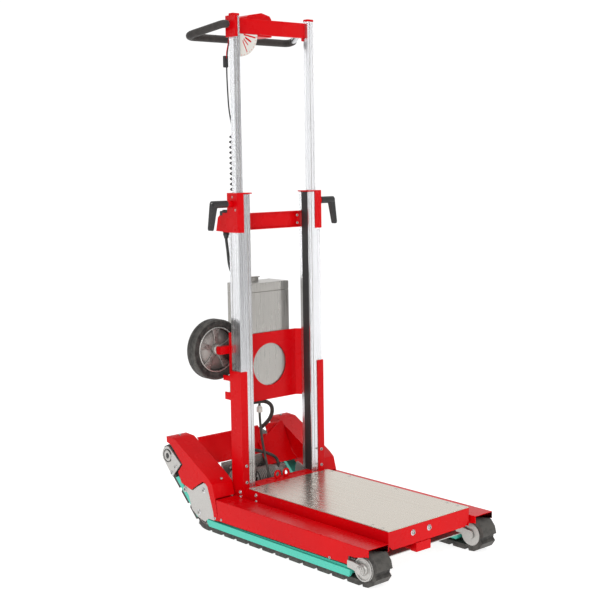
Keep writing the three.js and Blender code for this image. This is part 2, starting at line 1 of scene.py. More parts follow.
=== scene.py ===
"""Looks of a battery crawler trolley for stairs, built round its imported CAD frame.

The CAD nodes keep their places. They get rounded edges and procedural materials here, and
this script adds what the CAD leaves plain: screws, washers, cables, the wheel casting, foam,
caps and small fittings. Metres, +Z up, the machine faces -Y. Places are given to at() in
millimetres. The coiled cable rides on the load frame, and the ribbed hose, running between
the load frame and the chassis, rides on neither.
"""
import json
import math

import bmesh
import bpy
from mathutils import Matrix, Vector


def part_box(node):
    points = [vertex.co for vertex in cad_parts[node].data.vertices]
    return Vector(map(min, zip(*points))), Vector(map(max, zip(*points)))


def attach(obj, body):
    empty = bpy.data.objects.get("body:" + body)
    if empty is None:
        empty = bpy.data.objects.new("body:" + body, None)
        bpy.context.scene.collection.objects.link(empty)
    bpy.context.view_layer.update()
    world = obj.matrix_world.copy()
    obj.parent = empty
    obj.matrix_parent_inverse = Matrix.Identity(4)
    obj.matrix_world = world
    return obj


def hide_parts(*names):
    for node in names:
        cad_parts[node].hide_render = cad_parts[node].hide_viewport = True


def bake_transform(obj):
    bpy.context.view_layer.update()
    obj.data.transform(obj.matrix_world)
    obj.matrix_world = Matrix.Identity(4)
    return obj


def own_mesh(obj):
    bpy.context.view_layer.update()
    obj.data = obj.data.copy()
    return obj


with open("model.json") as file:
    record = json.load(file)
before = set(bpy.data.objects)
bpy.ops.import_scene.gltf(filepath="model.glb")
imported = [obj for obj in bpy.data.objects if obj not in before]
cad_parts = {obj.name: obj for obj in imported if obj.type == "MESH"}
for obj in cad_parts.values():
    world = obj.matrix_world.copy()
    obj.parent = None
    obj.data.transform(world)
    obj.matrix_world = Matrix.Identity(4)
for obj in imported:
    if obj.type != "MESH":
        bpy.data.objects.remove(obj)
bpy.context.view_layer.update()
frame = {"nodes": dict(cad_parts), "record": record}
nodes = frame["nodes"]
slot_of_node = {s["node"]: s["material_slot"] for s in frame["record"]["subparts"]}

# ------------------------------------------------------------------ places
PLATE_LOW, PLATE_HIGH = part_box("load_plate")
MIDDLE_X = (PLATE_LOW.x + PLATE_HIGH.x) / 2
PLATE_REAR_Y = PLATE_HIGH.y
MM = 0.001
SIDES = (("left", -1), ("right", 1))
FORWARD = (0, -1, 0)
BACKWARD = (0, 1, 0)
UP = (0, 0, 1)
DOWN = (0, 0, -1)


def at(x, y, z):
    """A point in millimetres from the middle of the load plate's rear edge, on the ground."""
    return Vector((MIDDLE_X + x * MM, PLATE_REAR_Y + y * MM, z * MM))


# ------------------------------------------------------------------ camera
CAMERA_PLACE = at(-2415.68, -2805.7, 1143.62)
CAMERA_AZIMUTH = -41.38
CAMERA_ELEVATION = 6.68
CAMERA_ROLL = -0.88
CAMERA_LENS = 71.66
SENSOR_WIDTH = 36
VIEW_END = 50


def make_camera():
    azimuth = math.radians(CAMERA_AZIMUTH)
    elevation = math.radians(CAMERA_ELEVATION)
    roll = math.radians(CAMERA_ROLL)
    back = Vector((
        math.sin(azimuth) * math.cos(elevation),
        -math.cos(azimuth) * math.cos(elevation),
        math.sin(elevation),
    ))
    right = Vector((math.cos(azimuth), math.sin(azimuth), 0))
    up = back.cross(right)
    right_rolled = right * math.cos(roll) + up * math.sin(roll)
    up_rolled = up * math.cos(roll) - right * math.sin(roll)
    data = bpy.data.cameras.new("camera")
    data.lens = CAMERA_LENS
    data.sensor_width = SENSOR_WIDTH
    data.clip_end = VIEW_END
    camera = bpy.data.objects.new("camera", data)
    turn = Matrix((right_rolled, up_rolled, back)).transposed()
    camera.matrix_world = Matrix.Translation(CAMERA_PLACE) @ turn.to_4x4()
    bpy.context.scene.collection.objects.link(camera)
    bpy.context.scene.camera = camera


make_camera()


# ------------------------------------------------------------------ mesh helpers
def dress(piece, slot):
    piece.data.materials.clear()
    piece.data.materials.append(MATERIALS[slot])


def new_piece(name, mesh, body, slot):
    piece = bpy.data.objects.new(name, mesh)
    bpy.context.scene.collection.objects.link(piece)
    if body:
        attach(piece, body)
    dress(piece, slot)
    return piece


def mesh_from(name, verts, faces):
    mesh = bpy.data.meshes.new(name)
    mesh.from_pydata([tuple(v) for v in verts], [], faces)
    mesh.update()
    work = bmesh.new()
    work.from_mesh(mesh)
    bmesh.ops.recalc_face_normals(work, faces=work.faces)
    work.to_mesh(mesh)
    work.free()
    for face in mesh.polygons:
        face.use_smooth = True
    return mesh


class Soup:
    """Collects closed solids of one material, to be made into one mesh."""

    def __init__(self):
        self.verts = []
        self.faces = []
        self.painted_socket_shade = None  # the black hexagons at the bottoms of the screws' socket recesses, painted shade, which are a piece of their own

    def add(self, verts, faces):
        start = len(self.verts)
        self.verts += [Vector(v) for v in verts]
        self.faces += [[start + i for i in face] for face in faces]

    def turned(self, profile, centre, axis, sides):
        """A solid of revolution about an axis, as turned_solid makes it."""
        verts, faces = turned_solid(profile, centre, axis, sides)
        self.add(verts, faces)

    def take(self, work):
        """Adds what a bmesh holds, and frees it."""
        work.verts.index_update()
        self.add([v.co.copy() for v in work.verts], [[v.index for v in f.verts] for f in work.faces])
        work.free()

    def mesh(self, name):
        return mesh_from(name, self.verts, self.faces)


def frame_of(axis):
    """The unit axis and two unit directions square to it and to each other."""
    axis = Vector(axis).normalized()
    helper = Vector((0, 0, 1)) if abs(axis.z) < 0.9 else Vector((1, 0, 0))
    side = axis.cross(helper).normalized()
    return axis, side, axis.cross(side)


def turned_solid(profile, centre, axis, sides):
    """A profile of (along the axis, radius) or (along, radius, corners) points, spun about the axis.

    A point with corners gives a ring shaped like a polygon, such as the hexagon of a nut, and a
    radius of 0 gives a pole. A ring-shaped solid's profile ends on the point it starts from.
    """
    axis, side, other = frame_of(axis)
    centre = Vector(centre)
    verts = []
    rings = []
    for along, radius, *corners in profile:
        if radius == 0:
            rings.append([len(verts)])
            verts.append(centre + axis * along)
            continue
        ring = []
        for k in range(sides):
            angle = 2 * math.pi * k / sides
            reach = radius
            if corners:
                sector = math.pi / corners[0]
                reach = radius * math.cos(sector) / math.cos(angle % (2 * sector) - sector)
            ring.append(len(verts))
            spoke = side * math.cos(angle) + other * math.sin(angle)
            verts.append(centre + axis * along + spoke * reach)
        rings.append(ring)
    faces = []
    for low, high in zip(rings, rings[1:]):
        for k in range(sides):
            a = low[k % len(low)]
            b = low[(k + 1) % len(low)]
            c = high[(k + 1) % len(high)]
            d = high[k % len(high)]
            face = list(dict.fromkeys((a, b, c, d)))
            if len(face) > 2:
                faces.append(face)
    return verts, faces


def tube_mesh(name, path, radius, sides, radii=None):
    """A closed tube along a path of points, its section carried along without twist."""
    points = [Vector(p) for p in path]
    last = len(points) - 1
    tangents = [
        (points[min(i + 1, last)] - points[max(i - 1, 0)]).normalized()
        for i in range(last + 1)
    ]
    _, side, _ = frame_of(tangents[0])
    verts = []
    for i, point in enumerate(points):
        side = (side - tangents[i] * side.dot(tangents[i])).normalized()
        other = tangents[i].cross(side)
        r = radii[i] if radii else radius
        for k in range(sides):
            angle = 2 * math.pi * k / sides
            verts.append(point + (side * math.cos(angle) + other * math.sin(angle)) * r)
    faces = [
        (i * sides + k, i * sides + (k + 1) % sides, (i + 1) * sides + (k + 1) % sides, (i + 1) * sides + k)
        for i in range(last)
        for k in range(sides)
    ]
    faces.append(tuple(reversed(range(sides))))
    faces.append(tuple(last * sides + k for k in range(sides)))
    return mesh_from(name, verts, faces)


def smooth_path(points, step):
    """A smooth curve through the points (Catmull-Rom), sampled about every step."""
    points = [Vector(p) for p in points]
    ends = [points[0] * 2 - points[1]] + points + [points[-1] * 2 - points[-2]]
    path = []
    for i in range(1, len(ends) - 2):
        a, b, c, d = ends[i - 1:i + 3]
        count = max(2, math.ceil((c - b).length / step))
        for k in range(count):
            t = k / count
            path.append(0.5 * (
                b * 2 + (c - a) * t + (a * 2 - b * 5 + c * 4 - d) * t ** 2
                + (b * 3 - a - c * 3 + d) * t ** 3
            ))
    path.append(points[-1])
    return path


def path_length(path):
    return sum((b - a).length for a, b in zip(path, path[1:]))


def rounded_loop(points, roundings, steps):
    """Straight runs between the points, each corner rounded from its given distance (mm)."""
    path = [Vector(points[0])]
    for i in range(1, len(points) - 1):
        corner = Vector(points[i])
        reach = roundings[i - 1]
        before = corner + (Vector(points[i - 1]) - corner).normalized() * reach
        after = corner + (Vector(points[i + 1]) - corner).normalized() * reach
        for k in range(steps + 1):
            t = k / steps
            path.append(before * (1 - t) ** 2 + corner * 2 * t * (1 - t) + after * t ** 2)
    path.append(Vector(points[-1]))
    return path


def slice_path(path, start, end):
    """The part of a path between two distances along it."""
    walked = 0
    part = []
    for a, b in zip(path, path[1:]):
        step = (b - a).length
        low = max(start - walked, 0)
        high = min(end - walked, step)
        if low < high:
            if not part:
                part.append(a.lerp(b, low / step))
            part.append(a.lerp(b, high / step))
        walked += step
    return part


def even_path(path, step):
    """The same path with a point every step or so."""
    length = path_length(path)
    count = max(2, round(length / step))
    fine = [path[0]]
    walked = 0
    index = 0
    for k in range(1, count):
        target = length * k / count
        while walked + (path[index + 1] - path[index]).length < target:
            walked += (path[index + 1] - path[index]).length
            index += 1
        leg = path[index + 1] - path[index]
        fine.append(path[index] + leg * ((target - walked) / leg.length))
    fine.append(path[-1])
    return fine


# ------------------------------------------------------------------ materials
def shader(name, color, roughness, metallic=0.0, specular=0.5):
    """A new material with its Principled shader set up, and the nodes to build on."""
    material = bpy.data.materials.new(name)
    material.use_nodes = True
    tree = material.node_tree
    bsdf = tree.nodes["Principled BSDF"]
    bsdf.inputs["Base Color"].default_value = (*color, 1)
    bsdf.inputs["Roughness"].default_value = roughness
    bsdf.inputs["Metallic"].default_value = metallic
    bsdf.inputs["Specular IOR Level"].default_value = specular
    material.diffuse_color = (*color, 1)
    return material, tree, bsdf


def place_noise(tree, scale, detail, stretch=(1, 1, 1)):
    """A noise texture fixed to the piece's own coordinates."""
    coords = tree.nodes.new("ShaderNodeTexCoord")
    mapping = tree.nodes.new("ShaderNodeMapping")
    mapping.inputs["Scale"].default_value = stretch
    noise = tree.nodes.new("ShaderNodeTexNoise")
    noise.inputs["Scale"].default_value = scale
    noise.inputs["Detail"].default_value = detail
    tree.links.new(coords.outputs["Object"], mapping.inputs["Vector"])
    tree.links.new(mapping.outputs["Vector"], noise.inputs["Vector"])
    return noise.outputs["Fac"]


def ramp(tree, source, low, high, start=0.3, end=0.7):
    """The source between start and end, turned into a colour between low and high."""
    node = tree.nodes.new("ShaderNodeValToRGB")
    node.color_ramp.elements[0].position = start
    node.color_ramp.elements[1].position = end
    node.color_ramp.elements[0].color = (*low, 1)
    node.color_ramp.elements[1].color = (*high, 1)
    tree.links.new(source, node.inputs["Fac"])
    return node.outputs["Color"]


def spread(tree, source, low, high):
    """The middle half of a source that runs from 0 to 1, turned into numbers from low to high."""
    node = tree.nodes.new("ShaderNodeMapRange")
    node.inputs["From Min"].default_value = 0.25
    node.inputs["From Max"].default_value = 0.75
    node.inputs["To Min"].default_value = low
    node.inputs["To Max"].default_value = high
    tree.links.new(source, node.inputs["Value"])
    return node.outputs["Result"]


def bump(tree, bsdf, source, strength, distance):
    node = tree.nodes.new("ShaderNodeBump")
    node.inputs["Strength"].default_value = strength
    node.inputs["Distance"].default_value = distance
    tree.links.new(source, node.inputs["Height"])
    tree.links.new(node.outputs["Normal"], bsdf.inputs["Normal"])


def edge_light(tree, sharpness):
    """White on the convex edges of a piece, where paint wears and dust is wiped off."""
    geometry = tree.nodes.new("ShaderNodeNewGeometry")
    node = tree.nodes.new("ShaderNodeMapRange")
    node.inputs["From Min"].default_value = 0.5
    node.inputs["From Max"].default_value = 0.5 + sharpness
    tree.links.new(geometry.outputs["Pointiness"], node.inputs["Value"])
    return node.outputs["Result"]


def powder_paint(name, color, deep):
    """Powder-coated steel: orange-peel bump, faint cloudiness and an uneven gloss."""
    material, tree, bsdf = shader(name, color, 0.3, specular=0.12)
    cloud = place_noise(tree, 5, 3)
    tree.links.new(ramp(tree, cloud, deep, color), bsdf.inputs["Base Color"])
    peel = place_noise(tree, 500, 2)
    bump(tree, bsdf, peel, 0.06, 0.0002)
    smudge = place_noise(tree, 14, 4)
    tree.links.new(spread(tree, smudge, 0.22, 0.34), bsdf.inputs["Roughness"])
    return material


def drawn_metal(name, color, dark, roughness, stretch, grain, metallic=0.95):
    """Metal with fine lines along one direction, from drawing or brushing."""
    material, tree, bsdf = shader(name, color, roughness, metallic)
    lines = place_noise(tree, grain, 2, stretch)
    cloud = place_noise(tree, 3, 2)
    mix = tree.nodes.new("ShaderNodeMath")
    mix.operation = "ADD"
    scaled = spread(tree, cloud, -0.1, 0.1)
    tree.links.new(lines, mix.inputs[0])
    tree.links.new(scaled, mix.inputs[1])
    tree.links.new(ramp(tree, mix.outputs[0], dark, color, 0.3, 0.62), bsdf.inputs["Base Color"])
    sheen = spread(tree, mix.outputs[0], roughness * 0.75, roughness * 1.3)
    tree.links.new(sheen, bsdf.inputs["Roughness"])
    bump(tree, bsdf, lines, 0.012, 0.00004)
    return material


def cast_or_plated(name, color, dark, roughness, metallic, grain, depth):
    """Plated, cast or moulded surface: a small grain alike in all directions."""
    material, tree, bsdf = shader(name, color, roughness, metallic)
    grit = place_noise(tree, grain, 4)
    tree.links.new(ramp(tree, grit, dark, color), bsdf.inputs["Base Color"])
    tree.links.new(spread(tree, place_noise(tree, 40, 4), roughness * 0.8, roughness * 1.25),
                   bsdf.inputs["Roughness"])
    bump(tree, bsdf, grit, 0.2, depth)
    return material


def worn_casting(name, color, bright, grain):
    """Dark cast or blackened metal, rubbed bright along its edges."""
    material, tree, bsdf = shader(name, color, 0.42, 0.6)
    grit = place_noise(tree, grain, 4)
    rub = tree.nodes.new("ShaderNodeMath")
    rub.operation = "MULTIPLY_ADD"
    tree.links.new(edge_light(tree, 0.05), rub.inputs[0])
    rub.inputs[1].default_value = 0.6
    tree.links.new(grit, rub.inputs[2])
    tree.links.new(ramp(tree, rub.outputs[0], color, bright, 0.7, 1.0), bsdf.inputs["Base Color"])
    tree.links.new(spread(tree, place_noise(tree, 40, 4), 0.34, 0.5), bsdf.inputs["Roughness"])
    bump(tree, bsdf, grit, 0.2, 0.0005)
    return material


def dusty_rubber(name, color, dust, grain):
    """Rubber that is greyer where it is scuffed, on its raised edges."""
    material, tree, bsdf = shader(name, color, 0.62, specular=0.35)
    scuff = place_noise(tree, grain, 6)
    worn = tree.nodes.new("ShaderNodeMath")
    worn.operation = "MULTIPLY_ADD"
    tree.links.new(edge_light(tree, 0.06), worn.inputs[0])
    worn.inputs[1].default_value = 0.35
    tree.links.new(scuff, worn.inputs[2])
    tree.links.new(ramp(tree, worn.outputs[0], color, dust, 0.42, 0.85), bsdf.inputs["Base Color"])
    bump(tree, bsdf, place_noise(tree, 1400, 3), 0.25, 0.0004)
    return material


def foam_skin(name, color):
    """Soft foam sleeve: fine closed cells and a dull sheen."""
    material, tree, bsdf = shader(name, color, 0.75, specular=0.3)
    bsdf.inputs["Sheen Weight"].default_value = 0.15
    cells = place_noise(tree, 2200, 2)
    tree.links.new(ramp(tree, place_noise(tree, 60, 4), color, [c * 1.7 for c in color]),
                   bsdf.inputs["Base Color"])
    bump(tree, bsdf, cells, 0.35, 0.0005)
    return material


MATERIALS = {
    "red_paint": powder_paint("red_paint", (0.70, 0.0006, 0.0025), (0.60, 0.0004, 0.004)),
    "mast_aluminium": drawn_metal(
        "mast_aluminium", (0.72, 0.725, 0.74), (0.64, 0.645, 0.66), 0.24, (1, 1, 0.004), 420),
    "plate_steel": drawn_metal(
        "plate_steel", (0.62, 0.565, 0.485), (0.58, 0.53, 0.455), 0.25, (1, 0.02, 1), 260, 0.88),
    "box_steel": drawn_metal(
        "box_steel", (0.5, 0.485, 0.455), (0.44, 0.425, 0.4), 0.33, (1, 1, 0.04), 300, 0.9),
    "zinc_steel": cast_or_plated(
        "zinc_steel", (0.56, 0.545, 0.52), (0.47, 0.46, 0.44), 0.34, 0.65, 260, 0.0001),
    "dark_steel": worn_casting("dark_steel", (0.05, 0.042, 0.04), (0.34, 0.31, 0.29), 180),
    "black_plastic": cast_or_plated(
        "black_plastic", (0.035, 0.034, 0.034), (0.018, 0.018, 0.018), 0.5, 0.0, 900, 0.0003),
    "rubber": dusty_rubber("rubber", (0.022, 0.021, 0.02), (0.085, 0.08, 0.072), 70),
    "slide_green": cast_or_plated(
        "slide_green", (0.075, 0.62, 0.47), (0.06, 0.52, 0.4), 0.42, 0.0, 500, 0.0003),
    "white_plastic": cast_or_plated(
        "white_plastic", (0.78, 0.76, 0.7), (0.7, 0.68, 0.63), 0.4, 0.0, 600, 0.0002),
    "grip_foam": foam_skin("grip_foam", (0.03, 0.027, 0.025)),
}


# ------------------------------------------------------------------ cords
COIL_CABLE = 0.0044
COIL_TURNS = 22
STEPS_PER_TURN = 16
COIL_END_LENGTH = 0.004
COIL_END_SPREAD = 0.15
COIL_END_TURNS = 0.5


def coil_points():
    """The coiled cable's path, from the top bar down to its clip behind the mast."""
    low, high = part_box("cable_coil")
    middle = (low + high) / 2
    upper = [
        at(-148, 68, 1524), at(-148, 68, 1519), at(-149, 72, 1500), at(-150, 80, 1470),
        at(-149, 86, 1420), at(-146, 88, 1360), at(-142, 88, 1300), at(-134, 86, 1250),
    ]
    helix_radius = (high.x - low.x) / 2 - COIL_CABLE / 2
    steps = STEPS_PER_TURN * COIL_TURNS
    top = high.z - COIL_END_LENGTH
    bottom = low.z + COIL_END_LENGTH
    path = smooth_path(upper, 0.006)
    centre = Vector((middle.x, middle.y, 0))
    for i in range(steps + 1):
        share = i / steps
        ease = min(1, share * COIL_TURNS / COIL_END_TURNS, (1 - share) * COIL_TURNS / COIL_END_TURNS)
        reach = COIL_END_SPREAD + (1 - COIL_END_SPREAD) * ease
        angle = 2 * math.pi * COIL_TURNS * share
        spoke = Vector((math.cos(angle), math.sin(angle), 0)) * helix_radius * reach
        path.append(centre + spoke + Vector((0, 0, top + (bottom - top) * share)))
    path.append(Vector((middle.x, middle.y, low.z)))
    return path


coil_path = coil_points()
coiled_cable = new_piece(
    "coiled_cable", tube_mesh("coiled_cable", coil_path, COIL_CABLE / 2, 8),
    "load_frame", "black_plastic"
)
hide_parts("cable_coil", "cable_upper")
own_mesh(coiled_cable)

battery_path = smooth_path([
    at(-156, 98, 927.6), at(-156, 98, 905), at(-150, 100, 870), at(-140, 106, 825), at(-122, 114, 795),
    at(-100, 122, 786), at(-83, 128, 779), at(-76, 130, 770), at(-76, 130, 760.4),
], 0.004)
battery_cable = new_piece(
    "battery_cable", tube_mesh("battery_cable", battery_path, 0.0045, 14),
    "load_frame", "black_plastic"
)
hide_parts("cable_lower")

signal_path = smooth_path([
    at(-19, 120, 394.6), at(-19, 120, 370), at(-19, 120, 340), at(-18, 119, 306), at(-17, 112, 250),
    at(-19, 98, 205), at(-24, 79, 165), at(-28, 67, 135), at(-28, 66, 118.4),
], 0.004)
signal_cable = new_piece(
    "signal_lead", tube_mesh("signal_lead", signal_path, 0.004, 14), "load_frame", "rubber"
)
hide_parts("signal_cable")

# The power hose is ribbed, so its radius swells and narrows along it.
HOSE_RADIUS = 0.0065
RIB_DEPTH = 0.0006
hose_path = smooth_path([
    at(-65.6, 150, 364), at(-45, 150, 365), at(-10, 150, 367), at(30, 151, 363), at(60, 158, 346),
    at(79, 174, 320), at(88, 198, 291), at(90, 224, 268), at(90, 248, 250), at(90, 261, 236),
    at(90, 262, 221),
], 0.0011)
hose_radii = [HOSE_RADIUS - (RIB_DEPTH if i % 4 in (0, 3) else 0) for i in range(len(hose_path))]
power_hose = new_piece(
    "ribbed_hose", tube_mesh("ribbed_hose", hose_path, HOSE_RADIUS, 16, hose_radii),
    None, "rubber"
)
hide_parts("power_hose")
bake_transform(power_hose)


# ------------------------------------------------------------------ solids for small parts
SHARP_EDGE = 0.5  # radians between two faces


def block(soup, low, high, round_by):
    """A box between two corners, with its edges and corners rounded off."""
    work = bmesh.new()
    bmesh.ops.create_cube(work, size=1)
    size = high - low
    for vert in work.verts:
        vert.co = Vector([low[i] + size[i] * (vert.co[i] + 0.5) for i in range(3)])
    reach = min(round_by, min(size) * 0.45)
    bmesh.ops.bevel(work, geom=work.edges[:], offset=reach, segments=3, profile=0.5, affect="EDGES")
    soup.take(work)


def side_block(soup, side, near, far, round_by):
    """A block between two corners in mm, given for the right side and mirrored for the left."""
    x_low, x_high = sorted((side * near[0], side * far[0]))
    block(soup, at(x_low, *near[1:]), at(x_high, *far[1:]), round_by)


def drawn_out(soup, corners, step, shave, segments):
    """A flat face drawn out by a step, with its sharp edges shaved off."""
    work = bmesh.new()
    face = work.faces.new([work.verts.new(corner) for corner in corners])
    grown = bmesh.ops.extrude_face_region(work, geom=[face])
    moved = [v for v in grown["geom"] if isinstance(v, bmesh.types.BMVert)]
    bmesh.ops.translate(work, verts=moved, vec=step)
    sharp = [e for e in work.edges if e.calc_face_angle(0) > SHARP_EDGE]
    bmesh.ops.bevel(work, geom=sharp, offset=shave, segments=segments, profile=0.5, affect="EDGES")
    soup.take(work)


def socket_screw(soup, centre, axis, radius, height):
    """A button-head screw with a hexagon socket; its head stands out along the axis."""
    socket = radius * 0.6
    if soup.painted_socket_shade is None:
        soup.painted_socket_shade = Soup()
    # Each socket's floor is a black hexagon of its own: painted shade for the depth of the recess.
    soup.painted_socket_shade.turned([
        (height * 0.3, 0), (height * 0.3, socket * 0.98, 6), (height * 0.62, socket * 0.98, 6),
        (height * 0.62, 0),
    ], centre, axis, 24)
    soup.turned([
        (-0.001, 0), (-0.001, radius), (height * 0.45, radius), (height * 0.8, radius * 0.9),
        (height, radius * 0.72), (height, socket + 0.0002, 6), (height * 0.35, socket, 6),
        (height * 0.35, 0),
    ], centre, axis, 24)


def washer(soup, centre, axis, radius, thick):
    """A flat washer without its hole, which a screw or nut always covers."""
    soup.turned([
        (-0.0005, 0), (-0.0005, radius), (thick * 0.7, radius), (thick, radius - 0.0003), (thick, 0),
    ], centre, axis, 32)


def hex_nut(soup, centre, axis, radius, height, bore):
    """A hexagon nut with a chamfered top and a round bore through it."""
    soup.turned([
        (0, bore), (0, radius, 6), (height * 0.85, radius, 6), (height, radius * 0.86),
        (height, bore + 0.0004), (height * 0.9, bore), (0, bore),
    ], centre, axis, 24)


def flat_screw(soup, centre, axis, radius):
    """A countersunk screw, flush but for its rim."""
    soup.turned([
        (-0.0015, 0), (-0.0015, radius * 0.6), (0.0001, radius), (0.00035, radius * 0.97),
        (0.00035, radius * 0.55, 6), (-0.001, radius * 0.5, 6), (-0.001, 0),
    ], centre, axis, 24)


def finish_piece(soup, name, body, slot):
    """Turns the soup into a piece, and the black hexagons in its screws' socket recesses, which are painted
    shade, into a second one.
    """
    piece = new_piece(name, soup.mesh(name), body, slot)
    if soup.painted_socket_shade:
        finish_piece(soup.painted_socket_shade, f"{name}_sockets", body, "black_plastic")
    return piece


# ------------------------------------------------------------------ screws and washers
SIDE_WASHER_X = 252.7
SIDE_SCREW_X = 253.5

load_screws = Soup()
load_washers = Soup()
for x in (-69, -3.5):
    washer(load_washers, at(x, -600, 116), FORWARD, 0.0085, 0.0012)
    socket_screw(load_screws, at(x, -601, 116), FORWARD, 0.0058, 0.0045)
for _, side in SIDES:
    for z in (125, 105):
        washer(load_washers, at(side * 166, -35, z), (side, 0, 0), 0.0058, 0.0008)
        socket_screw(load_screws, at(side * 166.6, -35, z), (side, 0, 0), 0.0042, 0.003)
    for z in (205, 153):
        socket_screw(load_screws, at(side * 157, 20.7, z), FORWARD, 0.0052, 0.0032)
    for z in (210, 158):
        socket_screw(load_screws, at(side * 139, 24, z), FORWARD, 0.0036, 0.0024)
    for z in (123, 107):
        washer(load_washers, at(side * 172, 34, z), (side, 0, 0), 0.0064, 0.001)
        socket_screw(load_screws, at(side * 172.8, 34, z), (side, 0, 0), 0.0046, 0.0034)
    # The load plate's side edges, the collars, the plate with the opening, the middle cross bar.
    for y in (-32, -115, -321, -527, -568):
        flat_screw(load_screws, at(side * 154, y, 140), UP, 0.0046)
    for y, z in ((44, 1035.5), (30, 996.5)):
        flat_screw(load_screws, at(side * 172, y, z), (side, 0, 0), 0.0036)
    for z in (418, 570):
        socket_screw(load_screws, at(side * 131, 73.2, z), BACKWARD, 0.0045, 0.003)
    for z in (946, 970):
        socket_screw(load_screws, at(side * 100, 58, z), FORWARD, 0.004, 0.0026)
finish_piece(load_screws, "load_frame_screws", "load_frame", "zinc_steel")
finish_piece(load_washers, "load_frame_washers", "load_frame", "mast_aluminium")

chassis_screws = Soup()
chassis_washers = Soup()
for _, side in SIDES:
    for y, z in ((-462, 55), (25, 54), (56, 52)):
        socket_screw(chassis_screws, at(side * 256, y, z), (side, 0, 0), 0.0042, 0.0028)
    for y, z, reach in (
        (116.3, 127.6, 0.0088), (143.8, 52, 0.0088), (263.8, 174.3, 0.0074), (284, 151.6, 0.0074),
    ):
        washer(chassis_washers, at(side * SIDE_WASHER_X, y, z), (side, 0, 0), reach, 0.001)
        socket_screw(chassis_screws, at(side * SIDE_SCREW_X, y, z), (side, 0, 0), reach * 0.66, 0.0032)
    chassis_screws.turned([
        (-0.002, 0.003), (-0.002, 0.0085), (0.0018, 0.0085), (0.0026, 0.0078), (0.0026, 0.0042),
        (-0.002, 0.003),
    ], at(side * SIDE_WASHER_X, 213.8, 112), (side, 0, 0), 32)
    # The tops of the arm covers, and then the cross cover.
    for y, z in ((75, 166.2), (290, 269.2)):
        socket_screw(chassis_screws, at(side * 214, y, z), (0, -0.35, 0.94), 0.0042, 0.0028)
for x in (-110, 0, 130):
    socket_screw(chassis_screws, at(x, 227, 224), (0, 0.9, -0.45), 0.0042, 0.0034)
finish_piece(chassis_screws, "chassis_screws", "chassis", "zinc_steel")
finish_piece(chassis_washers, "chassis_washers", "chassis", "mast_aluminium")

# ------------------------------------------------------------------ track fittings
IDLER_AXLE = (-587, 50.5)
DRIVE_AXLE = (306, 205)
BEARING_X = 252.8
CLIP_RADIUS = 20.5
CLIP_STEPS = 32

for name, side in SIDES:
    idler_face = Soup()
    idler_face.turned([
        (0, 0.0275), (0, 0.033), (0.0022, 0.033), (0.003, 0.0322), (0.003, 0.0285), (0.0006, 0.0275),
        (0, 0.0275),
    ], at(side * 250, *IDLER_AXLE), (side, 0, 0), 48)
    idler_face.turned([
        (0, 0.0092), (0, 0.0165), (0.0018, 0.0165), (0.0046, 0.0142), (0.0052, 0.0136), (0.0052, 0.0098),
        (0.0046, 0.0092), (0, 0.0092),
    ], at(side * 250, *IDLER_AXLE), (side, 0, 0), 40)
    finish_piece(idler_face, f"idler_face_{name}", f"idler_{name}", "zinc_steel")

    fork_nut = Soup()
    hex_nut(fork_nut, at(side * 262, *IDLER_AXLE), (side, 0, 0), 0.0125, 0.0048, 0.0075)
    washer(fork_nut, at(side * 262, *IDLER_AXLE), (side, 0, 0), 0.0135, 0.0009)
    finish_piece(fork_nut, f"fork_nut_{name}", "chassis", "zinc_steel")

    bearing = Soup()
    circlip = Soup()
    clip_path = []
    for i in range(CLIP_STEPS):
        angle = math.radians(-150 + 10 * i)
        y = DRIVE_AXLE[0] + CLIP_RADIUS * math.cos(angle)
        z = DRIVE_AXLE[1] + CLIP_RADIUS * math.sin(angle)
        clip_path.append(at(side * 253.6, y, z))
    clip = tube_mesh("clip", clip_path, 0.0012, 8)
    circlip.add([v.co for v in clip.vertices], [list(f.vertices) for f in clip.polygons])
    bearing.turned([
        (0, 0.0085), (0, 0.0178), (0.001, 0.0178), (0.0016, 0.017), (0.0016, 0.0095), (0, 0.0085),
    ], at(side * BEARING_X, *DRIVE_AXLE), (side, 0, 0), 40)
    finish_piece(bearing, f"drive_bearing_{name}", "chassis", "zinc_steel")
    for depth, radius, y, z in ((0.0002, 0.0095, *DRIVE_AXLE), (0.0018, 0.0046, 213.8, 112)):
        circlip.turned([
            (-0.001, 0), (-0.001, radius), (depth, radius), (depth + 0.0002, radius * 0.95),
            (depth + 0.0002, 0),
        ], at(side * BEARING_X, y, z), (side, 0, 0), 28)
    finish_piece(circlip, f"drive_circlip_{name}", "chassis", "black_plastic")

